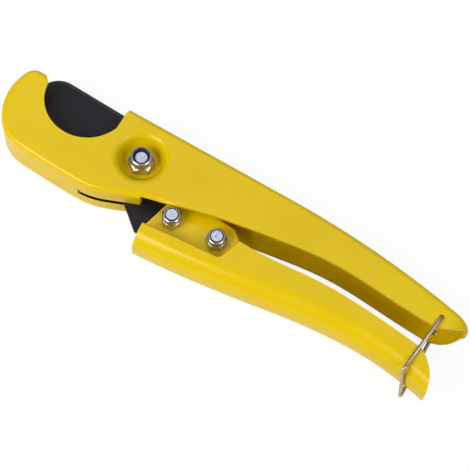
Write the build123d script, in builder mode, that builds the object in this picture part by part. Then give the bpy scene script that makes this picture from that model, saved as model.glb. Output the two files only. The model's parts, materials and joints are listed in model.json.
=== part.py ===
from build123d import *
import os
from math import asin, atan2, cos, degrees, hypot, radians, sin, sqrt

# A hand cutter for plastic pipe, lying on its side and locked shut. The pivot axis is
# vertical, +X runs towards the tails of the handles, and +Y from the lower handle towards
# the upper one. Outlines are drawn round the pivot, in the plane "side", and heights are
# measured from the outer face of the lower cheek.

# sheet-steel frame
channel_w = 20.0                # over the two cheeks
sheet_t = 1.5
fold_r = 2.5                    # outside of a fold
back_y = 16.7                   # web along the back of the upper handle
back_straight = 62.0            # where that web starts to curve down
tail_x, tail_y = 151.0, 6.8     # where the back ends
tail_round = 8.0                # of the tail, seen from the back
mouth_r = 18.3                  # takes a pipe of 36 mm
mouth_x, mouth_y = -33.2, 11.4
hook_x = -64.0                  # foremost point of the jaw
hook_top_x, hook_top_y = -57.1, 12.2
hook_web_end = -59.5            # the web stops here, short of the blade's nose
jaw_bottom = -23.3
lip_x, lip_y = 8.8, -15.4       # where the web under the jaw ends
lip_top = -9.0
shoulder_x = -15.3              # where the web along the back starts
slot_w = 2.7                    # slots in both webs, for the blade
slot_gap = 0.6                  # between a slot's end and the open blade
relief_w, relief_l = 0.9, 4.6   # cross cut at the closed end of the slot in the jaw
dish_rim_r, dish_floor_r = 10.4, 7.2
rim_round, floor_round = 3.6, 2.2

# blade
blade_t = 2.0
nose_x, nose_top, nose_r = -56.2, 17.55, 9.8
spine_end = (-13.6, 16.05)
edge_tip = (-55.2, -6.0)
edge_heel = (-13.0, -9.8)
edge_bevel = 4.5                # width of the ground cutting edge
edge_land = 0.1
notch_r = 1.3                   # relief at the end of the cutting edge
spine_bevel, spine_bevel_h = 1.6, 0.4
hub_r, hub_back = 12.5, 135.0   # round the pivot, up to this angle
tang_tip = (12.4, -26.2)
tang_end_r = 6.0                # round the rear bolt
open_angle = 58.0

# lower handle
grip_round = 8.4                # its section is nearly half round
grip_front_x = 16.2
grip_tail_x = tail_x - 2.7
grip_bottom = -34.6             # at its front end
step_y = -24.4                  # edge of the recess round the nuts, at its front end
recess_end = (50.0, -21.3)      # its lower back corner
recess_corner = 3.0
step_round = 0.9

# fasteners
pivot_d, pivot_flats = 6.0, 10.0
pivot_head_h, pivot_nut_h = 4.0, 8.0
grip_bolt_d, grip_bolt_flats = 5.0, 8.0
grip_bolt_head_h, grip_nut_h = 3.5, 6.3
front_bolt = (23.8, -15.0)
rear_bolt = (44.3, -13.6)
thread_l = 6.6                  # of each bolt, above the sheet that its nut sits on
shaft_gap = 0.05                # radial, between a bolt and its hole
hex_chamfer = 0.06              # height of a hexagon's chamfer, as a share of its flats
washer_face = 0.47              # radius of its flat end, as a share of its flats
pivot_end_cut, grip_bolt_end_cut = 0.5, 0.15    # chamfers of the threads' ends
hex_share = 0.62                # of a lock nut's height; its rolled collar is the rest
pivot_ring_w, grip_ring_w = 0.7, 0.4            # across the nylon rings
ring_sunk, ring_lip = 0.1, 0.4  # how far a ring reaches below the collar, and stays under its top
lip_round = 0.7                 # of the collar's rolled edge
washer_t, washer_r = 0.5, 7.0
face_gap = 0.05                 # between the blade and each washer

# return spring
spring_wire = 1.4
spring_pitch = 1.6
spring_gap = 0.4                # to the dish that the coil sits round
spring_low = 3.4                # height of the coil's first turn
spring_turns = 2
frame_leg, blade_leg = 25.0, 13.0
frame_leg_gap = 0.18            # to the web along the back
blade_leg_at = 285.0            # where that leg leaves the coil, in degrees

# locking bail
bail_wire = 1.5
bail_hole_r = 1.1
bail_at = (tail_x - 12.1, tail_y - 3.9)             # its hole in the upper handle
bail_near_x, bail_near_drop = tail_x - 15.0, -0.06  # bend beside the upper face, and how far
bail_far_x, bail_far_drop = tail_x - 11.2, 2.38     # below the lower handle's underside it is
bail_gap = 0.25                 # between its legs and the cheeks
bail_hook = 0.8                 # how far its ends reach inside
bend_r = 1.7

# heights of the stack on the pivot
mid_z = channel_w / 2
blade_z = mid_z - blade_t / 2
floor_z = blade_z - face_gap - washer_t     # inside of the lower dish's floor
dish_depth = floor_z - sheet_t
ear_z = blade_z - sheet_t                   # outer face of the ear, pressed on to the tang

# the origin is the middle of the cutter's box on the bench
pivot_x = -(tail_x + hook_x) / 2
pivot_y = 8.45
cheek_z = bail_wire + bail_gap
side = Plane((pivot_x, pivot_y, cheek_z))
edge_on = Plane((pivot_x, pivot_y, cheek_z), x_dir=(1, 0, 0), z_dir=(0, -1, 0))
mid_plane = side.offset(mid_z)
pivot_axis = Axis((pivot_x, pivot_y, 0), (0, 0, 1))
beyond = 20.0                               # how far a cut runs past what it trims

os.makedirs("parts", exist_ok=True)


def save(piece, name):
    piece.label = name
    export_step(piece, f"parts/{name}.step")


def lies_flat(edge):
    return edge.bounding_box().size.Z < 1e-3


def turned(point, angle):
    # where a point of the blade comes to when the blade opens by an angle
    a = atan2(point[1], point[0]) - radians(angle)
    r = hypot(*point)
    return (r * cos(a), r * sin(a))


# slots in the webs, long enough for the open blade
jaw_slot_end = turned(tang_tip, open_angle)[0] - slot_gap
hub_corner = (hub_r * cos(radians(hub_back)), hub_r * sin(radians(hub_back)))
open_low = turned(hub_corner, open_angle)
open_high = turned(spine_end, open_angle)
open_slope = (open_high[0] - open_low[0]) / (open_high[1] - open_low[1])
back_slot_end = open_low[0] + open_slope * (back_y - open_low[1]) + slot_gap

dish_slope = (dish_rim_r - dish_floor_r) / dish_depth
dish_wall = sheet_t * hypot(1, dish_slope)      # across the sloping wall, level with the cheeks
inner_rim_r = dish_rim_r + dish_wall

# the return spring sits round the lower dish
spring_r = inner_rim_r - dish_slope * (spring_low - spring_wire / 2) + spring_gap + spring_wire / 2
frame_leg_y = back_y - sheet_t - frame_leg_gap - spring_wire / 2
frame_leg_at = degrees(asin(frame_leg_y / hypot(spring_r, frame_leg)) + atan2(frame_leg, spring_r))
coil_turns = spring_turns + (blade_leg_at - frame_leg_at) / 360
leg_start = (spring_r * cos(radians(blade_leg_at)), spring_r * sin(radians(blade_leg_at)))
leg_hole = (
    leg_start[0] - blade_leg * sin(radians(blade_leg_at)),
    leg_start[1] + blade_leg * cos(radians(blade_leg_at)),
)

# The frame is folded from one sheet. It is drawn as a closed box, so that its folds run past
# the trimmed edges, and then hollowed and trimmed.
def frame_outline(inset):
    with BuildSketch(side.offset(inset)) as outline:
        with BuildLine():
            back = FilletPolyline(
                (hook_top_x, hook_top_y), (mouth_x - 12, hook_top_y), (mouth_x, back_y),
                (back_straight, back_y), radius=6,
            )
            bend = TangentArc(back @ 1, (tail_x, tail_y), tangent=back % 1)
            tail = Line(bend @ 1, bend @ 1 + (bend % 1) * 10)
            crown = TangentArc(back @ 0, (hook_x + 1.9, 8.9), tangent=(-1, 0))
            front = TangentArc(crown @ 1, (hook_x + 0.2, -3), tangent=crown % 1)
            chin = TangentArc(front @ 1, (hook_x + 5.4, -15.5), tangent=front % 1)
            turn = TangentArc(chin @ 1, (-46, jaw_bottom + 1.1), tangent=chin % 1)
            under = TangentArc(turn @ 1, (-17, jaw_bottom), tangent=turn % 1)
            heel = TangentArc(under @ 1, (-5, jaw_bottom + 2.3), tangent=under % 1)
            lip = TangentArc(heel @ 1, (lip_x, lip_y), tangent=heel % 1)
            below = TangentArc(lip @ 1, (lip_x + 21, lip_y + 2.6), tangent=lip % 1)
            low = Line(below @ 1, below @ 1 + (below % 1) * 130)
            Line(low @ 1, tail @ 1)
        make_face()
        if inset:
            offset(amount=-inset)
    return outline.sketch


def past_tail(inset):
    # all that lies beyond the round end of the upper handle
    with BuildPart() as waste:
        with BuildSketch(edge_on):
            with Locations((tail_x - inset, mid_z)):
                Rectangle(2 * beyond, channel_w)
            with Locations((tail_x - inset - beyond, mid_z)):
                RectangleRounded(2 * beyond, channel_w - 2 * inset, tail_round - inset, mode=Mode.SUBTRACT)
        extrude(amount=2 * beyond, both=True)
    return waste.part


def dish(r_rim, r_floor, depth):
    with BuildPart() as cone:
        with BuildSketch(edge_on):
            Polygon((0, 0), (r_rim, 0), (r_floor, depth), (0, depth), align=None)
        revolve(axis=pivot_axis)
    return cone.part


def both_dishes(r_rim, r_floor, depth):
    lower = dish(r_rim, r_floor, depth)
    return [lower, mirror(lower, about=mid_plane)]


with BuildPart() as frame_hollow:
    add(frame_outline(sheet_t))
    extrude(amount=channel_w - 2 * sheet_t)
    add(past_tail(sheet_t), mode=Mode.SUBTRACT)
    fillet(frame_hollow.edges().filter_by(lies_flat), radius=fold_r - sheet_t)
    add(both_dishes(inner_rim_r, inner_rim_r - dish_slope * floor_z, floor_z), mode=Mode.SUBTRACT)

with BuildPart() as frame:
    add(frame_outline(0))
    extrude(amount=channel_w)
    add(past_tail(0), mode=Mode.SUBTRACT)
    fillet(frame.edges().filter_by(lies_flat), radius=fold_r)
    add(both_dishes(dish_rim_r, dish_floor_r, dish_depth), mode=Mode.SUBTRACT)
    add(frame_hollow.part, mode=Mode.SUBTRACT)
    # above the mouth
    with BuildSketch(side):
        with BuildLine():
            nose = RadiusArc((hook_top_x, hook_top_y), (mouth_x - 18, mouth_y - 3.2), 5.9)
            bowl = ThreePointArc(
                nose @ 1, (mouth_x, mouth_y - mouth_r), (mouth_x + 17.5, mouth_y - 5.4),
            )
            Polyline(
                bowl @ 1, (shoulder_x - 0.6, back_y - 3), (shoulder_x, back_y), (shoulder_x, back_y + 9),
                (hook_top_x, back_y + 9), nose @ 0,
            )
        make_face()
    extrude(amount=channel_w, mode=Mode.SUBTRACT)
    # below the upper handle
    with BuildSketch(side):
        with BuildLine():
            cheek = Spline(
                (lip_x, lip_y + 0.5), (22, -11.4), (38, -7.2), (62, -3.0), (90, 0.4),
                (tail_x - 33.0, -0.9), (tail_x - 15.0, -1.9),
            )
            corner = ThreePointArc(cheek @ 1, (tail_x - 6.6, 0.3), (tail_x - 1.4, tail_y - sheet_t - 0.1))
            Polyline(
                corner @ 1, (tail_x + 20, tail_y - sheet_t - 0.1), (tail_x + 20, -90), (lip_x, -90),
                cheek @ 0,
            )
        make_face()
    extrude(amount=channel_w, mode=Mode.SUBTRACT)
    # nothing is left between the cheeks past the lip
    with BuildSketch(side.offset(sheet_t)):
        with Locations((lip_x, lip_y)):
            Rectangle(40, 2 * (lip_top - lip_y), align=(Align.MIN, Align.CENTER))
    extrude(amount=channel_w - 2 * sheet_t, mode=Mode.SUBTRACT)
    # short of the blade's nose
    with BuildSketch(edge_on):
        with Locations((hook_web_end + 5, mid_z)):
            Rectangle(10, channel_w - 2 * fold_r - 1)
    extrude(amount=-beyond, mode=Mode.SUBTRACT)
    # slots for the blade
    with BuildSketch(edge_on.offset(dish_rim_r)):
        with Locations((lip_x + 2, mid_z)):
            Rectangle(lip_x + 2 - jaw_slot_end, slot_w, align=(Align.MAX, Align.CENTER))
        with Locations((jaw_slot_end, mid_z)):
            Rectangle(relief_w, relief_l)
    extrude(amount=beyond, mode=Mode.SUBTRACT)
    with BuildSketch(edge_on.offset(-hub_r)):
        with Locations((back_slot_end, mid_z)):
            Rectangle(back_slot_end - shoulder_x + 5, slot_w, align=(Align.MAX, Align.CENTER))
    extrude(amount=-beyond, mode=Mode.SUBTRACT)
    # holes for the pivot and the bail
    with BuildSketch(side):
        Circle(pivot_d / 2 + shaft_gap)
        with Locations(bail_at):
            Circle(bail_hole_r)
    extrude(amount=channel_w, mode=Mode.SUBTRACT)
    rims = frame.edges().filter_by(GeomType.CIRCLE)
    fillet(rims.filter_by(lambda e: abs(e.radius - dish_rim_r) < 0.01), radius=rim_round)
    rims = frame.edges().filter_by(GeomType.CIRCLE)
    fillet(rims.filter_by(lambda e: abs(e.radius - dish_floor_r) < 0.01), radius=floor_round)
save(frame.part, "frame")

# The blade is ground from flat steel, with its tang between the ears of the lower handle.
with BuildPart() as blade:
    with BuildSketch(side.offset(blade_z)):
        with BuildLine():
            nose = FilletPolyline(spine_end, (nose_x, nose_top), edge_tip, radius=nose_r)
            edge = Line(edge_tip, edge_heel)
            notch = ThreePointArc(
                edge_heel, (edge_heel[0] + notch_r, edge_heel[1] + notch_r),
                (edge_heel[0] + 2 * notch_r, edge_heel[1] - 0.3),
            )
            heel = Spline(notch @ 1, (-3, -14), (3.8, -19.1), (8.2, -22.7))
            tang = Polyline(
                heel @ 1, tang_tip, (14.3, -26.7), (20, -23.4), (40, rear_bolt[1] - tang_end_r),
            )
            low = Line(tang @ 1, (rear_bolt[0], rear_bolt[1] - tang_end_r))
            ThreePointArc(
                low @ 1, (rear_bolt[0] + tang_end_r, rear_bolt[1]),
                (rear_bolt[0], rear_bolt[1] + tang_end_r),
            )
            hub = CenterArc((0, 0), hub_r, 42, hub_back - 42)
            Polyline((rear_bolt[0], rear_bolt[1] + tang_end_r), (24, -5.6), hub @ 0)
            Line(hub @ 1, spine_end)
        make_face()
        Circle(pivot_d / 2 + shaft_gap, mode=Mode.SUBTRACT)
        with Locations(front_bolt, rear_bolt):
            Circle(grip_bolt_d / 2 + shaft_gap, mode=Mode.SUBTRACT)
        with Locations(leg_hole):
            Circle(spring_wire / 2 + 2 * shaft_gap, mode=Mode.SUBTRACT)
    extrude(amount=blade_t)
    # the spine's edges are broken, and the cutting edge is ground from both faces
    for face_at in (0, -1):
        face = blade.faces().filter_by(Axis.Z).sort_by(Axis.Z)[face_at]
        spine = face.edges().sort_by_distance(side.from_local_coords((mouth_x, nose_top, mid_z)))[0]
        chamfer(spine, length=spine_bevel, length2=spine_bevel_h, reference=face)
    run = Vector(edge_heel) - Vector(edge_tip)
    across = Plane(
        side.from_local_coords((edge_tip[0], edge_tip[1], mid_z)), x_dir=run.rotate(Axis.Z, 90), z_dir=-run,
    )
    with BuildSketch(across):
        for up in (1, -1):
            Polygon(
                (-9, up * edge_land / 2), (0, up * edge_land / 2), (edge_bevel, up * blade_t / 2),
                (edge_bevel, up * blade_t), (-9, up * blade_t), align=None,
            )
    extrude(amount=-run.length, mode=Mode.SUBTRACT)
save(blade.part, "blade")

# The lower handle is folded from one sheet, open on the side that faces the frame.
def grip_outline(inset):
    with BuildSketch(side.offset(inset)) as outline:
        with BuildLine():
            front = TangentArc((0, grip_bottom), (50, grip_bottom + 3.9), tangent=(1, 0.02))
            palm = TangentArc(front @ 1, (80, grip_bottom + 8.4), tangent=front % 1)
            rear = TangentArc(palm @ 1, (grip_tail_x - 38.3, grip_bottom + 11.3), tangent=palm % 1)
            beak = TangentArc(rear @ 1, (grip_tail_x, grip_bottom + 7.1), tangent=rear % 1)
            end = Line(beak @ 1, beak @ 1 + (beak % 1) * 10)
            Polyline(end @ 1, (end @ 1).X * Vector(1, 0) + Vector(0, 20), (0, 20), front @ 0)
        make_face()
        if inset:
            offset(amount=-inset)
    return outline.sketch


def nut_recess(margin):
    # room for the nuts on the outer faces of the ears
    with BuildSketch(side) as recess:
        with BuildLine():
            step = FilletPolyline(
                (-5, step_y - 0.6), (grip_front_x + 1, step_y + 0.2), (31.4, step_y + 1.7), recess_end,
                (recess_end[0] + 3.2, -11), (recess_end[0] + 4.5, 40), radius=recess_corner,
            )
            Polyline(step @ 1, (-5, 40), step @ 0)
        make_face()
        if margin:
            offset(amount=margin)
    return recess.sketch


def both_recesses(margin, depth):
    with BuildPart() as lower:
        add(nut_recess(margin))
        extrude(amount=depth)
        fillet(lower.faces().sort_by(Axis.Z)[-1].edges(), radius=step_round + margin)
    return [lower.part, mirror(lower.part, about=mid_plane)]


with BuildPart() as grip_hollow:
    add(grip_outline(sheet_t))
    extrude(amount=channel_w - 2 * sheet_t)
    low_edges = grip_hollow.edges().filter_by(lies_flat).filter_by(GeomType.CIRCLE)
    fillet(low_edges, radius=grip_round - sheet_t)
    add(both_recesses(sheet_t, ear_z + sheet_t), mode=Mode.SUBTRACT)

with BuildPart() as lower_handle:
    add(grip_outline(0))
    extrude(amount=channel_w)
    fillet(lower_handle.edges().filter_by(lies_flat).filter_by(GeomType.CIRCLE), radius=grip_round)
    add(both_recesses(0, ear_z), mode=Mode.SUBTRACT)
    step_rim = lower_handle.edges(Select.LAST).filter_by(lies_flat).filter_by(
        lambda e: abs(e.center().Z - mid_plane.origin.Z) > mid_z - 0.01 and e.center().Y < pivot_y
    )
    fillet(step_rim, radius=step_round)
    add(grip_hollow.part, mode=Mode.SUBTRACT)
    with BuildSketch(side):
        with BuildLine():
            ear = Polyline(
                (grip_front_x + 0.4, -50), (grip_front_x, grip_bottom + 2), (grip_front_x - 0.7, -22),
                (18.4, -9.6), (21, -3.4), (37, -4.3), (47.9, -5), (51.2, -7.6), (53.4, -11.1),
            )
            wall = Spline(
                ear @ 1, (65, -11.2), (89, -9.4), (grip_tail_x - 33.3, -10.2), (grip_tail_x - 10.3, -12.7),
            )
            tail = ThreePointArc(
                wall @ 1, (grip_tail_x - 3.7, -18.5), (grip_tail_x, grip_bottom + 7.1),
            )
            Polyline(tail @ 1, (grip_tail_x + 0.3, -50), ear @ 0)
        make_face()
    extrude(amount=channel_w, mode=Mode.INTERSECT)
    with BuildSketch(side):
        with Locations(front_bolt, rear_bolt):
            Circle(grip_bolt_d / 2 + shaft_gap)
    extrude(amount=channel_w, mode=Mode.SUBTRACT)
save(lower_handle.part, "lower_handle")

def hexagon(flats, turn):
    return RegularPolygon(radius=flats / 2, side_count=6, major_radius=False, rotation=turn)


def on_bolt(point):
    # planes across and along a bolt's axis
    base = Plane(side.from_local_coords((point[0], point[1], 0)))
    return base, Plane(base.origin, x_dir=(1, 0, 0), z_dir=(0, -1, 0)), Axis(base.origin, (0, 0, 1))


def bolt(point, turn, size, flats, head_z, seat_z, end_z, end_cut):
    base, across, axis = on_bolt(point)
    corner_r = flats / sqrt(3)
    with BuildPart() as made:
        with BuildSketch(base.offset(head_z)):
            hexagon(flats, turn)
        extrude(amount=seat_z - head_z)
        with BuildSketch(across):
            Polygon(
                (0, head_z), (flats * washer_face, head_z), (corner_r, head_z + flats * hex_chamfer),
                (corner_r, seat_z), (0, seat_z), align=None,
            )
        revolve(axis=axis, mode=Mode.INTERSECT)
        with BuildSketch(across):
            Polygon(
                (0, seat_z), (size / 2, seat_z), (size / 2, end_z - end_cut),
                (size / 2 - end_cut, end_z), (0, end_z), align=None,
            )
        revolve(axis=axis)
    return made.part


def lock_nut(point, turn, size, flats, nut_z, nut_h, ring_w):
    # a hexagon with a collar rolled over a nylon ring
    base, across, axis = on_bolt(point)
    corner_r, face_r, corner_cut = flats / sqrt(3), flats * washer_face, flats * hex_chamfer
    hex_top = nut_z + nut_h * hex_share
    top = nut_z + nut_h
    bore_r = size / 2 + shaft_gap
    ring_r = bore_r + ring_w
    ring_z = hex_top - ring_sunk
    with BuildPart() as nut:
        with BuildSketch(base.offset(nut_z)):
            hexagon(flats, turn)
        extrude(amount=nut_h)
        with BuildSketch(across):
            with BuildLine():
                rise = Polyline(
                    (0, nut_z), (face_r, nut_z), (corner_r, nut_z + corner_cut),
                    (corner_r, hex_top - corner_cut), (face_r, hex_top),
                    (ring_r + lip_round, hex_top), (ring_r + lip_round, top - lip_round),
                )
                lip = RadiusArc(rise @ 1, (ring_r, top), -lip_round)
                Polyline(lip @ 1, (0, top), rise @ 0)
            make_face()
        revolve(axis=axis, mode=Mode.INTERSECT)
        with BuildSketch(across):
            Polygon(
                (0, nut_z), (bore_r, nut_z), (bore_r, ring_z), (ring_r, ring_z), (ring_r, top), (0, top),
                align=None,
            )
        revolve(axis=axis, mode=Mode.SUBTRACT)
    with BuildPart() as ring:
        with BuildSketch(across):
            Polygon(
                (bore_r, ring_z), (ring_r, ring_z), (ring_r, top - ring_lip), (bore_r, top - ring_lip),
                align=None,
            )
        revolve(axis=axis)
    return nut.part, ring.part


# Each bolt's head is below and its nut above, on the sheets that it clamps.
pivot_bolt = bolt(
    (0, 0), 30, pivot_d, pivot_flats, dish_depth - pivot_head_h, dish_depth,
    channel_w - dish_depth + thread_l, pivot_end_cut,
)
pivot_nut = lock_nut(
    (0, 0), 30, pivot_d, pivot_flats, channel_w - dish_depth, pivot_nut_h, pivot_ring_w,
)
save(pivot_bolt, "pivot_bolt")
save(pivot_nut[0], "pivot_nut")
save(pivot_nut[1], "pivot_nut_insert")
for name, point, turn in (("front_handle", front_bolt, 0), ("rear_handle", rear_bolt, 24)):
    grip_bolt = bolt(
        point, turn, grip_bolt_d, grip_bolt_flats, ear_z - grip_bolt_head_h, ear_z,
        channel_w - ear_z + thread_l, grip_bolt_end_cut,
    )
    grip_nut = lock_nut(
        point, turn, grip_bolt_d, grip_bolt_flats, channel_w - ear_z, grip_nut_h, grip_ring_w,
    )
    save(grip_bolt, name + "_bolt")
    save(grip_nut[0], name + "_nut")
    save(grip_nut[1], name + "_nut_insert")

# The washers lie between the blade and the floors of the dishes.
for name, z in (("far_blade_washer", floor_z), ("near_blade_washer", channel_w - floor_z - washer_t)):
    with BuildPart() as washer:
        with BuildSketch(side.offset(z)):
            Circle(washer_r)
            Circle(pivot_d / 2 + shaft_gap, mode=Mode.SUBTRACT)
        extrude(amount=washer_t)
    save(washer.part, name)

# The return spring bears on the web along the back and hooks into the blade.
with BuildPart() as return_spring:
    coil = Helix(pitch=spring_pitch, height=spring_pitch * coil_turns, radius=spring_r, mode=Mode.PRIVATE)
    coil = side.offset(spring_low) * Rotation(0, 0, frame_leg_at) * coil
    with BuildLine() as spring_line:
        add(coil)
        Line(coil @ 0 - (coil % 0) * frame_leg, coil @ 0)
        leg_end = coil @ 1 + (coil % 1) * blade_leg
        FilletPolyline(coil @ 1, leg_end, (leg_end.X, leg_end.Y, cheek_z + mid_z + 0.6), radius=spring_wire)
    with BuildSketch(Plane(coil @ 0 - (coil % 0) * frame_leg, z_dir=coil % 0)):
        Circle(spring_wire / 2)
    sweep(path=spring_line.wires()[0])
save(return_spring.part, "return_spring")

# The locking bail hangs in the upper handle and is hooked round the lower one.
def under_grip(x, drop):
    # a point below the lower handle's underside
    upwards = Axis(side.from_local_coords((x, 2 * grip_bottom, mid_z)), (0, 1, 0))
    met = lower_handle.part.find_intersection_points(upwards)[0][0]
    return (x, side.to_local_coords(met).Y - drop)


near_z = channel_w + bail_gap + bail_wire / 2
far_z = -(bail_gap + bail_wire / 2)
bail_near = under_grip(bail_near_x, bail_near_drop)
bail_far = under_grip(bail_far_x, bail_far_drop)
with BuildPart() as locking_bail:
    with BuildLine():
        path = FilletPolyline(
            *[side.from_local_coords(p) for p in (
                (*bail_at, channel_w - sheet_t - bail_hook), (*bail_at, near_z), (*bail_near, near_z),
                (*bail_far, far_z), (*bail_at, far_z), (*bail_at, sheet_t + bail_hook),
            )],
            radius=bend_r,
        )
    with BuildSketch(Plane(path @ 0, z_dir=path % 0)):
        Circle(bail_wire / 2)
    sweep(path=path)
save(locking_bail.part, "locking_bail")
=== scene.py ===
import json
import math

import bmesh
import bpy
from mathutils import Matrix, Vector


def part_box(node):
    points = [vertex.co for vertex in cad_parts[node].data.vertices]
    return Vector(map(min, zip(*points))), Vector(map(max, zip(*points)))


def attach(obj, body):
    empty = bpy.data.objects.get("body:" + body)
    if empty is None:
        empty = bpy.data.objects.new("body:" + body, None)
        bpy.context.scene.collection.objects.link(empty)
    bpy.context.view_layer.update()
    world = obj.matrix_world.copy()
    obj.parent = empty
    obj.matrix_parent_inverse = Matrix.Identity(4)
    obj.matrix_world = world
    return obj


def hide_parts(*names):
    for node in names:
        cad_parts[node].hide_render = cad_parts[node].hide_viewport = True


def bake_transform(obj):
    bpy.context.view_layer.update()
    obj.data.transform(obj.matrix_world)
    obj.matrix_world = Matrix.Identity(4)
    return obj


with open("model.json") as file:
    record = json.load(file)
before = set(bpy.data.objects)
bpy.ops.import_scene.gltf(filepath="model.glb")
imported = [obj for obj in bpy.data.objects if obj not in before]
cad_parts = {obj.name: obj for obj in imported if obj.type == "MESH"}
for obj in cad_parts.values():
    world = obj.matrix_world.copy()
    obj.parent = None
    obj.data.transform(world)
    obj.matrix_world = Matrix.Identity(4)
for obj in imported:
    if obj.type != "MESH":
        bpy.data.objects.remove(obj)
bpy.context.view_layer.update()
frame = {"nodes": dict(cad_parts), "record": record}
mm = 0.001
weldGap = 0.002 * mm
hollowSamples = 8       # rays that feel for a hollow

joints = {joint["name"]: joint for joint in frame["record"]["behaviour"]["joints"]}
pivotSpot = Vector(joints["lever_pivot"]["pos_m"])      # on the pivot's axis, at mid height
bailSpot = Vector(joints["bail_swing"]["pos_m"])
print("frame loaded:", len(frame["nodes"]), "nodes")


def nothingSelected():
    if bpy.context.object and bpy.context.object.mode != "OBJECT":
        bpy.ops.object.mode_set(mode="OBJECT")
    bpy.ops.object.select_all(action="DESELECT")


def pickOnly(piece):
    nothingSelected()
    piece.select_set(True)
    bpy.context.view_layer.objects.active = piece


def applyModifier(piece, kind, **settings):
    pickOnly(piece)
    modifier = piece.modifiers.new(kind.title(), kind)
    for name, value in settings.items():
        setattr(modifier, name, value)
    bpy.ops.object.modifier_apply(modifier=modifier.name)


def selectWhere(piece, kind, test):
    # in edit mode, picks the points or edges of a piece that pass a test
    bpy.ops.mesh.select_all(action="DESELECT")
    bpy.ops.mesh.select_mode(type=kind)
    mesh = bmesh.from_edit_mesh(piece.data)
    for part in {"VERT": mesh.verts, "EDGE": mesh.edges}[kind]:
        part.select_set(bool(test(part)))
    mesh.select_flush_mode()
    bmesh.update_edit_mesh(piece.data)


def weld():
    # in edit mode, joins points that coincide and turns every face outward
    bpy.ops.mesh.select_all(action="SELECT")
    bpy.ops.mesh.remove_doubles(threshold=weldGap)
    bpy.ops.mesh.normals_make_consistent(inside=False)


def settle(piece, name, smoothAngle=35):
    # the place goes into the mesh, faces point out, and slight bends are smooth
    pickOnly(piece)
    bpy.ops.object.transform_apply(location=True, rotation=True, scale=True)
    bpy.ops.object.mode_set(mode="EDIT")
    weld()
    bpy.ops.object.mode_set(mode="OBJECT")
    bpy.ops.object.shade_smooth_by_angle(angle=math.radians(smoothAngle))
    piece.name = piece.data.name = name


def finishAs(piece, node, material):
    # the piece gets its material and stands for its node
    piece.data.materials.clear()
    piece.data.materials.append(material)
    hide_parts(node)


def turnOutline(outline, steps):
    # one point is pulled along (radius, height) pairs in mm, and its trail is spun round
    nothingSelected()
    bpy.ops.mesh.primitive_plane_add(size=mm)
    piece = bpy.context.object
    bpy.ops.object.mode_set(mode="EDIT")
    bpy.ops.mesh.select_mode(type="VERT")
    bpy.ops.mesh.select_all(action="SELECT")
    bpy.ops.mesh.merge(type="CENTER")
    here = Vector((0, 0, 0))
    for number, (radius, height) in enumerate(outline):
        spot = Vector((radius, 0, height)) * mm
        if number:
            bpy.ops.mesh.extrude_region_move(TRANSFORM_OT_translate={"value": spot - here})
        else:
            bpy.ops.transform.translate(value=spot - here)
        here = spot
    bpy.ops.mesh.select_all(action="SELECT")
    bpy.ops.mesh.spin(steps=steps, angle=math.tau, center=(0, 0, 0), axis=(0, 0, 1))
    weld()
    bpy.ops.object.mode_set(mode="OBJECT")
    return piece


def arcPoints(first, last, radius, steps):
    # the round way from first to last, which bulges to the right of the line between them
    first, last = Vector(first), Vector(last)
    chord = last - first
    right = Vector((chord.y, -chord.x)).normalized()
    centre = (first + last) / 2 - right * math.sqrt(radius ** 2 - chord.length_squared / 4)
    start = math.atan2(first.y - centre.y, first.x - centre.x)
    sweep = 2 * math.asin(chord.length / 2 / radius)
    angles = [start + sweep * n / steps for n in range(steps + 1)]
    return [(centre.x + radius * math.cos(a), centre.y + radius * math.sin(a)) for a in angles]


# how every wire is drawn out, bent and cut off
wireLook = {"stepsPerRadian": 7, "leastSteps": 4, "straightBelow": 0.01, "endRound": 0.25, "rimReach": 1.1}


def startWire(sides, radius, location, rotation=(0, 0, 0)):
    # one open ring of points
    nothingSelected()
    bpy.ops.mesh.primitive_circle_add(vertices=sides, radius=radius, location=location, rotation=rotation)
    bpy.ops.object.transform_apply(location=True, rotation=True, scale=True)
    return bpy.context.object


def growWire(route, bendRadius, way):
    # the selected open end of a wire is pulled from corner to corner, with round bends
    here = route[0]
    for number in range(1, len(route)):
        corner = route[number]
        nextWay = (route[number + 1] - corner).normalized() if number + 1 < len(route) else way
        turn = way.angle(nextWay, 0)
        trim = bendRadius * math.tan(turn / 2)
        stop = corner - way * trim
        bpy.ops.mesh.extrude_region_move(TRANSFORM_OT_translate={"value": stop - here})
        here = stop
        if turn > wireLook["straightBelow"]:
            axis = way.cross(nextWay).normalized()
            centre = stop + axis.cross(way) * bendRadius
            steps = max(wireLook["leastSteps"], round(turn * wireLook["stepsPerRadian"]))
            bpy.ops.mesh.spin(steps=steps, angle=-turn, center=centre, axis=axis)
            here = corner + nextWay * trim
        way = nextWay


def pickEnd(wire, spot, radius):
    # in edit mode, picks the open rim round a spot
    selectWhere(wire, "VERT", lambda point: (point.co - spot).length < radius * wireLook["rimReach"])


def closeEnd(radius):
    # the selected rim of a wire is drawn in a little and filled, as a sheared end is
    bpy.ops.mesh.edge_face_add()
    bpy.ops.mesh.bevel(offset=radius * wireLook["endRound"], segments=2)


def hexColour(code):
    channels = [int(code[i:i + 2], 16) / 255 for i in (1, 3, 5)]
    return [c / 12.92 if c <= 0.04045 else ((c + 0.055) / 1.055) ** 2.4 for c in channels] + [1.0]


def newMaterial(name, inputs):
    material = bpy.data.materials.new(name)
    material.use_nodes = True
    shader = material.node_tree.nodes["Principled BSDF"]
    for socket, value in inputs.items():
        shader.inputs[socket].default_value = value
    return material, shader


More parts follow.
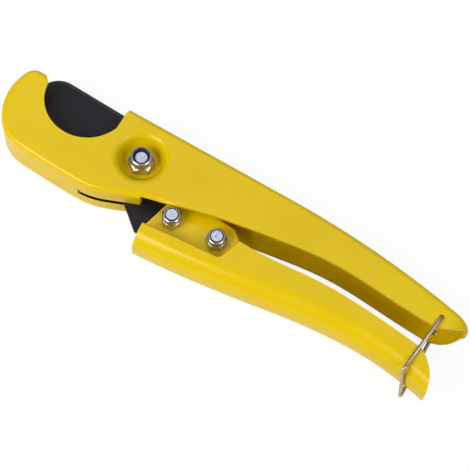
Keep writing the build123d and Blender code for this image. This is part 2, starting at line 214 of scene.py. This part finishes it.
def addNode(material, kind, settings=None, inputs=None, links=None, drives=None):
    # drives lists (shader or node, socket, own output) that the new node feeds
    tree = material.node_tree
    made = tree.nodes.new("ShaderNode" + kind)
    for name, value in (settings or {}).items():
        setattr(made, name, value)
    for name, value in (inputs or {}).items():
        made.inputs[name].default_value = value
    for name, source in (links or {}).items():
        tree.links.new(source, made.inputs[name])
    for target, socket, output in drives or []:
        tree.links.new(made.outputs[output], target.inputs[socket])
    return made


def calculate(material, operation, *operands):
    # a Math node on numbers and other nodes' outputs
    made = addNode(material, "Math", {"operation": operation})
    for socket, operand in zip(made.inputs, operands):
        if isinstance(operand, bpy.types.NodeSocket):
            material.node_tree.links.new(operand, socket)
        else:
            socket.default_value = operand
    return made.outputs["Value"]


def noise(material, vector, sizeInMm, detail, roughness=0.5):
    # a cloudy pattern with patches of about that size
    settings = {"Scale": 1 / (sizeInMm * mm), "Detail": detail, "Roughness": roughness}
    return addNode(material, "TexNoise", inputs=settings, links={"Vector": vector}).outputs["Fac"]


def setRamp(ramp, dark, light, low=0.3, high=0.7):
    for element, place, code in zip(ramp.color_ramp.elements, (low, high), (dark, light)):
        element.position = place
        element.color = hexColour(code)


def spreadRoughness(material, shader, pattern, look):
    # a little duller or glossier than the look's own roughness, along a pattern
    least, most = [look["roughness"] + spread for spread in look["roughnessSpread"]]
    addNode(
        material, "MapRange", inputs={"To Min": least, "To Max": most},
        links={"Value": pattern}, drives=[(shader, "Roughness", "Result")],
    )


# Stoving enamel, sprayed on folded sheet and baked: an even, glossy yellow with a slight
# orange peel. It rounds the cut edges a little, so that they catch the light. Shade is painted
# into its hollows as a darker colour, and the level walls of its slots are painted near-black
# as shade.
enamel = {
    "light": "#efd000", "deep": "#e8c600", "cloudSize": 45, "cloudRamp": (0.35, 0.65),
    # painted shade: a dark yellow-brown for the hollows, reached by AO over a few mm
    "hollowShade": "#7a5c00", "paintedShadeReach": 3.0, "paintedShadeRamp": (0.02, 0.36),
    # painted shade: near-black for the level walls of the slots at mid height
    "slotShade": "#1c1206", "slotShadeReach": 1.45, "levelAbove": 0.9,
    "roughness": 0.2, "roughnessSpread": (-0.02, 0.03), "sheen": 0.32,
    "peelSize": 2.4, "peel": 0.04, "peelDepth": 0.04, "edgeRound": 0.1,
}
yellowEnamel, shader = newMaterial(
    "YellowEnamel", {"Roughness": enamel["roughness"], "IOR": 1.5, "Specular IOR Level": enamel["sheen"]},
)
place = addNode(yellowEnamel, "TexCoord")
peel = noise(yellowEnamel, place.outputs["Object"], enamel["peelSize"], 2.0, 0.45)
cloud = noise(yellowEnamel, place.outputs["Object"], enamel["cloudSize"], 3.0)
tint = addNode(yellowEnamel, "ValToRGB", links={"Fac": cloud})
setRamp(tint, enamel["deep"], enamel["light"], *enamel["cloudRamp"])
# painted shade: the enamel turns dark yellow-brown where nearby surfaces close in round it
openness = addNode(
    yellowEnamel, "AmbientOcclusion", {"samples": hollowSamples}, {"Distance": enamel["paintedShadeReach"] * mm},
)
opened = addNode(
    yellowEnamel, "MapRange", inputs=dict(zip(("From Min", "From Max"), enamel["paintedShadeRamp"])),
    links={"Value": openness.outputs["AO"]},
)
shadedCoat = addNode(
    yellowEnamel, "MixRGB", inputs={"Color1": hexColour(enamel["hollowShade"])},
    links={"Fac": opened.outputs["Result"], "Color2": tint.outputs["Color"]},
)
# the level walls of the slots, at mid height, are painted near-black as shade
spot = addNode(yellowEnamel, "SeparateXYZ", links={"Vector": place.outputs["Object"]})
facing = addNode(yellowEnamel, "SeparateXYZ", links={"Vector": place.outputs["Normal"]})
midHeight = calculate(yellowEnamel, "COMPARE", spot.outputs["Z"], pivotSpot.z, enamel["slotShadeReach"] * mm)
levelness = calculate(yellowEnamel, "ABSOLUTE", facing.outputs["Z"])
level = calculate(yellowEnamel, "GREATER_THAN", levelness, enamel["levelAbove"])
addNode(
    yellowEnamel, "MixRGB", inputs={"Color2": hexColour(enamel["slotShade"])},
    links={"Fac": calculate(yellowEnamel, "MULTIPLY", midHeight, level), "Color1": shadedCoat.outputs["Color"]},
    drives=[(shader, "Base Color", "Color")],
)
spreadRoughness(yellowEnamel, shader, peel, enamel)
easedEdge = addNode(yellowEnamel, "Bevel", {"samples": 6}, {"Radius": enamel["edgeRound"] * mm})
addNode(
    yellowEnamel, "Bump", inputs={"Strength": enamel["peel"], "Distance": enamel["peelDepth"] * mm},
    links={"Height": peel, "Normal": easedEdge.outputs["Normal"]}, drives=[(shader, "Normal", "Normal")],
)

# Dark non-stick coating on a punched steel blade: nearly black and satin, thin on the ground
# bevels, with the faint lengthwise marks of the grinding under it.
coating = {
    "dark": "#15141b", "worn": "#1c1b24", "wearRamp": (0.3, 0.75),
    "ground": "#3a393f", "bevelTilt": (0.9, 0.995), "roughness": 0.46, "sheen": 0.35,
    "grainSize": 1.2, "grainStretch": 0.06, "grainTurn": 2, "bump": 0.15, "bumpDepth": 0.02,
}
bladeCoating, shader = newMaterial(
    "BladeCoating", {"Roughness": coating["roughness"], "Specular IOR Level": coating["sheen"]},
)
place = addNode(bladeCoating, "TexCoord")
grainTurn = (0, 0, math.radians(coating["grainTurn"]))
along = addNode(
    bladeCoating, "Mapping", inputs={"Scale": (coating["grainStretch"], 1, 1), "Rotation": grainTurn},
    links={"Vector": place.outputs["Object"]},
)
brush = noise(bladeCoating, along.outputs["Vector"], coating["grainSize"], 4.0)
shade = addNode(bladeCoating, "ValToRGB", links={"Fac": brush})
setRamp(shade, coating["dark"], coating["worn"], *coating["wearRamp"])
# a ground bevel is nearly level, but not quite
facing = addNode(bladeCoating, "NewGeometry")
upright = addNode(bladeCoating, "SeparateXYZ", links={"Vector": facing.outputs["True Normal"]})
levelness = calculate(bladeCoating, "ABSOLUTE", upright.outputs["Z"])
steepest, shallowest = coating["bevelTilt"]
sloping = calculate(bladeCoating, "LESS_THAN", levelness, shallowest)
shallow = calculate(bladeCoating, "GREATER_THAN", levelness, steepest)
addNode(
    bladeCoating, "MixRGB", inputs={"Color2": hexColour(coating["ground"])},
    links={"Fac": calculate(bladeCoating, "MULTIPLY", sloping, shallow), "Color1": shade.outputs["Color"]},
    drives=[(shader, "Base Color", "Color")],
)
addNode(
    bladeCoating, "Bump", inputs={"Strength": coating["bump"], "Distance": coating["bumpDepth"] * mm},
    links={"Height": brush}, drives=[(shader, "Normal", "Normal")],
)


# what all the metals share
metalLook = {"roughnessSpread": (-0.04, 0.08), "bumpDepth": 0.02}


def metalMaterial(look):
    # streaked metal, with shade painted into its hollows as a darker colour
    look = {**metalLook, **look}
    material, shader = newMaterial(look["name"], {"Metallic": 1.0, "Roughness": look["roughness"]})
    place = addNode(material, "TexCoord")
    run = addNode(
        material, "Mapping", inputs={"Scale": look["stretch"]}, links={"Vector": place.outputs["Object"]},
    )
    streak = noise(material, run.outputs["Vector"], look["grainSize"], 3.0)
    tone = addNode(material, "ValToRGB", links={"Fac": streak})
    setRamp(tone, look["dark"], look["light"])
    # painted shade: the metal turns darker where nearby surfaces close in round it
    openness = addNode(
        material, "AmbientOcclusion", {"samples": hollowSamples}, {"Distance": look["paintedShadeReach"] * mm},
    )
    addNode(
        material, "MixRGB", inputs={"Color1": hexColour(look["hollowShade"])},
        links={"Fac": openness.outputs["AO"], "Color2": tone.outputs["Color"]},
        drives=[(shader, "Base Color", "Color")],
    )
    spreadRoughness(material, shader, streak, look)
    addNode(
        material, "Bump", inputs={"Strength": look["bump"], "Distance": look["bumpDepth"] * mm},
        links={"Height": streak}, drives=[(shader, "Normal", "Normal")],
    )
    return material


# Bright zinc plate with a blue passivate on cold-formed steel: a cool silver that mirrors
# what is round it, with faint blotches.
brightZinc = metalMaterial({
    "name": "BrightZinc", "light": "#dadcec", "dark": "#c4c6da", "hollowShade": "#2b2618", "paintedShadeReach": 2.0,
    "roughness": 0.16, "grainSize": 1.3, "stretch": (1, 1, 1), "bump": 0.08,
})
# Hard-drawn spring wire, bare: a warm grey with die lines along it.
bailWire = metalMaterial({
    "name": "BareSpringWire", "light": "#d6c8bc", "dark": "#b3a598", "hollowShade": "#4a4038", "paintedShadeReach": 1.5,
    "roughness": 0.3, "grainSize": 0.9, "stretch": (1, 0.15, 0.15), "bump": 0.1,
})
# Oil-tempered spring wire: nearly black, with a dull sheen.
springWire = metalMaterial({
    "name": "OilTemperedWire", "light": "#6b655f", "dark": "#45413e", "hollowShade": "#191715", "paintedShadeReach": 1.5,
    "roughness": 0.38, "grainSize": 0.8, "stretch": (1, 1, 1), "bump": 0.1,
})
# Rolled steel washers: a plain grey with faint rolling lines.
washerSteel = metalMaterial({
    "name": "RolledSteel", "light": "#a7a7a9", "dark": "#8b8b8e", "hollowShade": "#3a3a3a", "paintedShadeReach": 1.0,
    "roughness": 0.35, "grainSize": 0.7, "stretch": (1, 0.1, 1), "bump": 0.1,
})

# Nylon lock ring, moulded and dyed dark blue: satin, slightly mottled.
ringLook = {"light": "#26294c", "dark": "#181a38", "roughness": 0.4, "mottleSize": 0.8}
blueNylon, shader = newMaterial("BlueNylon", {"Roughness": ringLook["roughness"], "IOR": 1.53})
place = addNode(blueNylon, "TexCoord")
mottle = noise(blueNylon, place.outputs["Object"], ringLook["mottleSize"], 2.0)
tone = addNode(blueNylon, "ValToRGB", links={"Fac": mottle}, drives=[(shader, "Base Color", "Color")])
setRamp(tone, ringLook["dark"], ringLook["light"])
print("materials made")

# the folded sheets, the blade and the washers keep their own nodes
keptNodes = {
    "frame": yellowEnamel, "lower_handle": yellowEnamel, "blade": bladeCoating,
    "near_blade_washer": washerSteel, "far_blade_washer": washerSteel,
}
for nodeName, material in keptNodes.items():
    node = frame["nodes"][nodeName]
    node.data.materials.clear()
    node.data.materials.append(material)

# each bolt has a lock nut with a nylon ring: M6 at the pivot, M5 in the lower handle
pivotSize = {
    "thread": 6.0, "root": 2.7, "pitch": 1.0, "endChamfer": 0.5,
    "flats": 10.0, "headHeight": 4.0, "dimple": 2.1,
}
gripSize = {
    "thread": 5.0, "root": 2.26, "pitch": 0.8, "endChamfer": 0.15,
    "flats": 8.0, "headHeight": 3.5, "dimple": 1.9,
}
fasteners = {
    "pivot": {"body": "upper", "turn": 30, "named": "Pivot", **pivotSize},
    "front_handle": {"body": "lever", "turn": 0, "named": "FrontHandle", **gripSize},
    "rear_handle": {"body": "lever", "turn": 24, "named": "RearHandle", **gripSize},
}
# what all the fasteners share; sizes in mm, shares of the flats, the height or the pitch
hexLook = {"edgeRound": 0.25, "chamferShare": 0.06, "faceShare": 0.47, "spinSteps": 96, "past": 1.0}
nutLook = {
    "hexShare": 0.62, "foot": 0.22, "roll": 0.85, "rollSteps": 12, "faceRim": 0.01,
    "boreGap": 0.05, "countersink": 0.3, "ringEase": 0.16,
}
boltLook = {
    "threadsShown": 4, "rootFrom": 0.4, "rootTo": 0.5, "crestFrom": 0.9,
    "dimpleDepth": 0.18, "dimpleRound": 9.0, "dimpleSteps": 5,
    "headDish": 0.2, "headCentre": 0.05, "dishShare": 0.58, "rimShare": 0.65, "seatEase": 0.25,
}


def trimToHexagon(piece, look, low, high):
    # six flats, with their upright edges slightly rounded
    nothingSelected()
    bpy.ops.mesh.primitive_cylinder_add(
        vertices=6, radius=look["flats"] / math.sqrt(3) * mm, depth=(high - low + 2 * hexLook["past"]) * mm,
        location=(0, 0, (low + high) / 2 * mm), rotation=(0, 0, math.radians(look["turn"] + 30)),
    )
    prism = bpy.context.object
    bpy.ops.object.mode_set(mode="EDIT")
    selectWhere(prism, "EDGE", lambda edge: abs(edge.verts[0].co.z - edge.verts[1].co.z) > mm / 2)
    bpy.ops.mesh.bevel(offset=hexLook["edgeRound"] * mm, segments=3)
    bpy.ops.object.mode_set(mode="OBJECT")
    applyModifier(piece, "BOOLEAN", object=prism, operation="INTERSECT", solver="EXACT")
    bpy.data.objects.remove(prism, do_unlink=True)


def axisOf(name):
    # where a round piece's axis stands, and the heights of its ends in mm
    low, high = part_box(name)
    return Vector(((low[0] + high[0]) / 2, (low[1] + high[1]) / 2, 0)), low[2] / mm, high[2] / mm


def ringRadius(name):
    low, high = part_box(name + "_nut_insert")
    return (high[0] - low[0]) / 2 / mm


def hexSizes(look):
    # the radius over its corners, the radius of its flat end, and the height of its chamfer
    flats = look["flats"]
    return flats / math.sqrt(3), flats * hexLook["faceShare"], flats * hexLook["chamferShare"]


def makeNut(name, look):
    # a chamfered hexagon, with a collar rolled in over the ring
    axis, low, high = axisOf(name + "_nut")
    seat = axisOf(name + "_nut_insert")[1]
    ringOuter = ringRadius(name)
    hexTop = low + (high - low) * nutLook["hexShare"]
    bore = look["thread"] / 2 + nutLook["boreGap"]
    corner, face, chamfer = hexSizes(look)
    countersink, foot, roll = nutLook["countersink"], nutLook["foot"], nutLook["roll"]
    collar = ringOuter + roll
    outline = [
        (bore + countersink, low), (face, low), (corner, low + chamfer), (corner, hexTop - chamfer),
        (max(face, collar + foot + nutLook["faceRim"]), hexTop), (collar + foot, hexTop),
        (collar + foot / 3, hexTop + foot / 3), (collar, hexTop + foot),
        *arcPoints((collar, high - roll), (ringOuter, high), roll, nutLook["rollSteps"]),
        (ringOuter, seat), (bore, seat), (bore, low + countersink), (bore + countersink, low),
    ]
    nut = turnOutline(outline, hexLook["spinSteps"])
    trimToHexagon(nut, look, low, high)
    nut.location = axis
    settle(nut, look["named"] + "LockNut")
    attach(nut, look["body"])
    finishAs(nut, name + "_nut", brightZinc)


def makeRing(name, look):
    # the nylon ring, with its edges eased
    axis, low, high = axisOf(name + "_nut_insert")
    outer = ringRadius(name)
    inner, ease = look["thread"] / 2 + nutLook["boreGap"], nutLook["ringEase"]
    outline = [
        (inner, low), (outer, low),
        (outer, high - ease / 2), (outer - ease / 4, high - ease / 8), (outer - ease / 2, high),
        (inner + ease, high), (inner + ease / 4, high - ease / 3), (inner, high - ease), (inner, low),
    ]
    ring = turnOutline(outline, hexLook["spinSteps"])
    ring.location = axis
    settle(ring, look["named"] + "NylonRing")
    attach(ring, look["body"])
    finishAs(ring, name + "_nut_insert", blueNylon)


def makeBolt(name, look):
    # a dished hexagon head, a plain shank and a threaded end with a shallow dimple
    axis, low, high = axisOf(name + "_bolt")
    radius, root, pitch = look["thread"] / 2, look["root"], look["pitch"]
    corner, face, chamfer = hexSizes(look)
    seat = low + look["headHeight"]
    dish, dimple = boltLook["headDish"], look["dimple"]
    outline = [
        (0, low + dish + boltLook["headCentre"]), (corner * boltLook["dishShare"], low + dish),
        (corner * boltLook["rimShare"], low), (face, low), (corner, low + chamfer),
        (corner, seat - boltLook["seatEase"]), (face, seat), (radius, seat),
    ]
    # the last threads are cut as grooves
    top, bottom = high - look["endChamfer"], high - boltLook["dimpleDepth"]
    for number in range(boltLook["threadsShown"], 0, -1):
        start = top - pitch * number
        outline += [
            (radius, start), (root, start + pitch * boltLook["rootFrom"]),
            (root, start + pitch * boltLook["rootTo"]), (radius, start + pitch * boltLook["crestFrom"]),
        ]
    outline += [
        (radius, top), (radius - look["endChamfer"], high), (dimple, high),
        *arcPoints((dimple, high), (0, bottom), boltLook["dimpleRound"], boltLook["dimpleSteps"])[1:],
    ]
    bolt = turnOutline(outline, hexLook["spinSteps"])
    trimToHexagon(bolt, look, low, high)
    bolt.location = axis
    settle(bolt, look["named"] + "HexBolt")
    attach(bolt, look["body"])
    finishAs(bolt, name + "_bolt", brightZinc)


for name, look in fasteners.items():
    makeNut(name, look)
    makeRing(name, look)
    makeBolt(name, look)
    print(name, "bolt, nut and ring made")

# torsion spring round the lower dish: one leg bears on the frame's web, the other is hooked
# into the blade
springLook = {
    "wire": 1.4, "pitch": 1.6, "startAt": 95.67, "endAt": 285.0, "turns": 2,
    "frameLeg": 25.0, "bladeLeg": 13.0, "tipAboveMid": 0.6, "sides": 14, "steps": 150,
}


def makeSpring():
    low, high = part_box("return_spring")
    wireRadius = springLook["wire"] / 2 * mm
    radius = pivotSpot.x - low[0] - wireRadius
    sweep = math.radians(360 * springLook["turns"] + springLook["endAt"] - springLook["startAt"])
    rise = springLook["pitch"] * mm / math.tau
    spring = startWire(springLook["sides"], wireRadius, (radius, 0, 0), (math.radians(90), 0, 0))
    applyModifier(
        spring, "SCREW", axis="Z", angle=sweep, screw_offset=rise * sweep, steps=springLook["steps"],
        render_steps=springLook["steps"], use_merge_vertices=False,
    )

    def coilPoint(angle):
        return Vector((radius * math.cos(angle), radius * math.sin(angle), rise * angle))

    def coilWay(angle):
        return Vector((-radius * math.sin(angle), radius * math.cos(angle), rise)).normalized()

    # the coil starts along X here, and is turned to its place at the end
    first, last = coilPoint(0), coilPoint(sweep)
    tip = last + coilWay(sweep) * springLook["bladeLeg"] * mm
    coilLow = low[2] + wireRadius + springLook["frameLeg"] * mm * rise / math.hypot(radius, rise)
    top = Vector((tip.x, tip.y, pivotSpot.z + springLook["tipAboveMid"] * mm - coilLow))
    bpy.ops.object.mode_set(mode="EDIT")
    pickEnd(spring, first, wireRadius)
    growWire([first, first - coilWay(0) * springLook["frameLeg"] * mm], 0, -coilWay(0))
    closeEnd(wireRadius)
    pickEnd(spring, last, wireRadius)
    growWire([last, tip, top], springLook["wire"] * mm, coilWay(sweep))
    closeEnd(wireRadius)
    bpy.ops.object.mode_set(mode="OBJECT")
    spring.rotation_euler = (0, 0, math.radians(springLook["startAt"]))
    spring.location = (pivotSpot.x, pivotSpot.y, coilLow)
    settle(spring, "ReturnSpring", 60)
    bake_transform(spring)
    finishAs(spring, "return_spring", springWire)


makeSpring()
print("return spring made")

# locking bail: one bent wire, hooked into the frame's cheeks, with the marks of the pliers
# beside its near bend; near and far are its two corners, from the holes in the frame
bailLook = {
    "wire": 1.5, "bend": 1.7, "hook": 2.3, "near": (-2.9, -27.8), "far": (0.9, -30.9), "sides": 20,
    "marksAt": (2.6, 3.6), "markLength": 0.45, "markFlat": 0.74, "markWide": 1.1, "markReach": 1.2,
    "markSlack": 0.05,
}


def makeBail():
    low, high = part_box("locking_bail")
    frameLow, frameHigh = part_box("frame")
    wireRadius = bailLook["wire"] / 2 * mm
    hook = bailLook["hook"] * mm

    def spot(offset, height):
        return Vector((bailSpot.x + offset[0] * mm, bailSpot.y + offset[1] * mm, height))

    nearZ, farZ = high[2] - wireRadius, low[2] + wireRadius
    start = spot((0, 0), frameHigh[2] - hook)
    nearCorner = spot(bailLook["near"], nearZ)
    upperRun = (nearCorner - spot((0, 0), nearZ)).normalized()
    # each mark has four rings of points, and the middle two are pinched
    marks, pinched = [], []
    for distance in reversed(bailLook["marksAt"]):
        for step in (1, 0.5, -0.5, -1):
            ring = nearCorner - upperRun * (distance + step * bailLook["markLength"]) * mm
            marks.append(ring)
            if abs(step) < 1:
                pinched.append(ring)
    route = [
        start, spot((0, 0), nearZ), *marks, nearCorner,
        spot(bailLook["far"], farZ), spot((0, 0), farZ), spot((0, 0), frameLow[2] + hook),
    ]
    bail = startWire(bailLook["sides"], wireRadius, start)
    bpy.ops.object.mode_set(mode="EDIT")
    bpy.ops.mesh.select_mode(type="VERT")
    bpy.ops.mesh.select_all(action="SELECT")
    growWire(route, bailLook["bend"] * mm, Vector((0, 0, 1)))
    closeEnd(wireRadius)
    pickEnd(bail, start, wireRadius)
    closeEnd(wireRadius)
    # the jaws of the pliers flattened the wire there
    markReach, markSlack = wireRadius * bailLook["markReach"], bailLook["markSlack"] * mm
    squeeze = (bailLook["markWide"], 1, bailLook["markFlat"])
    for middle in pinched:
        selectWhere(
            bail, "VERT", lambda point: (point.co - middle).length < markReach
            and abs((point.co - middle).dot(upperRun)) < markSlack,
        )
        bpy.ops.transform.resize(value=squeeze, center_override=middle)
    bpy.ops.object.mode_set(mode="OBJECT")
    settle(bail, "LockingBail", 50)
    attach(bail, "bail")
    finishAs(bail, "locking_bail", bailWire)


makeBail()
print("locking bail made")

# pale bench under the cutter: most of its white is its own, and the rest takes the shadow
floorLook = {"size": 4.0, "drop": 0.2, "paint": 0.93, "roughness": 0.9, "whiteShare": 0.86, "white": 1.05}
nothingSelected()
bpy.ops.mesh.primitive_plane_add(size=floorLook["size"], location=(0, 0, -floorLook["drop"] * mm))
floor = bpy.context.object
floor.name = "BenchFloor"
floorPaint, shader = newMaterial(
    "PaleBench", {"Base Color": [floorLook["paint"]] * 3 + [1], "Roughness": floorLook["roughness"]},
)
rays = addNode(floorPaint, "LightPath")
seen = calculate(floorPaint, "MAXIMUM", rays.outputs["Is Camera Ray"], rays.outputs["Is Transmission Ray"])
glow = addNode(floorPaint, "Emission", inputs={"Color": (1, 1, 1, 1), "Strength": floorLook["white"]})
addNode(
    floorPaint, "MixShader",
    links={
        0: calculate(floorPaint, "MULTIPLY", seen, floorLook["whiteShare"]),
        1: shader.outputs["BSDF"], 2: glow.outputs["Emission"],
    },
    drives=[(floorPaint.node_tree.nodes["Material Output"], "Surface", "Shader")],
)
floor.data.materials.append(floorPaint)

# the room is white to the camera, and dim to everything that it lights
ambient = 0.22
world = bpy.data.worlds.new("SoftStudio")
bpy.context.scene.world = world
world.use_nodes = True
background = world.node_tree.nodes["Background"]
background.inputs["Color"].default_value = (1, 1, 1, 1)
rays = addNode(world, "LightPath")
strength = calculate(world, "MULTIPLY_ADD", rays.outputs["Is Camera Ray"], 1 - ambient, ambient)
world.node_tree.links.new(strength, background.inputs["Strength"])

# large soft boxes, all aimed at the cutter
softBoxes = {
    "leftBox": {"at": (-0.245, -0.41, 0.49), "size": (0.40, 0.32), "power": 2.85, "tint": (1.0, 0.96, 0.91)},
    "rightBox": {"at": (0.85, -0.04, 0.98), "size": (0.44, 0.57), "power": 3.5, "tint": (1.0, 0.94, 0.86)},
    "fillBox": {"at": (0.30, 0.15, 0.95), "size": (0.5, 0.5), "power": 0.5, "tint": (1.0, 1.0, 1.0)},
    "overheadBox": {"at": (-0.23, 0.35, 0.91), "size": (0.6, 0.6), "power": 0.85, "tint": (0.95, 0.96, 1.0)},
}
for name, box in softBoxes.items():
    lamp = bpy.data.lights.new(name, "AREA")
    lamp.shape = "RECTANGLE"
    lamp.size, lamp.size_y = box["size"]
    lamp.energy = box["power"]
    lamp.color = box["tint"]
    holder = bpy.data.objects.new(name, lamp)
    bpy.context.collection.objects.link(holder)
    holder.location = box["at"]
    holder.rotation_euler = (-Vector(box["at"])).to_track_quat("-Z", "Y").to_euler()

# the camera looks down on the cutter from in front of the lower handle
view = {"fromPivot": (0.15166, -0.23620, 0.60907), "turn": (22.342, -2.646, 30.474), "lens": 122.63}
camera = bpy.data.cameras.new("BenchCamera")
camera.lens = view["lens"]
camera.sensor_width = 36
cameraHolder = bpy.data.objects.new("BenchCamera", camera)
bpy.context.collection.objects.link(cameraHolder)
cameraHolder.location = pivotSpot + Vector(view["fromPivot"])
cameraHolder.rotation_euler = [math.radians(turn) for turn in view["turn"]]
bpy.context.scene.camera = cameraHolder
bpy.context.scene.view_settings.view_transform = "Standard"
print("floor, lights and camera set")

bpy.context.view_layer.update()
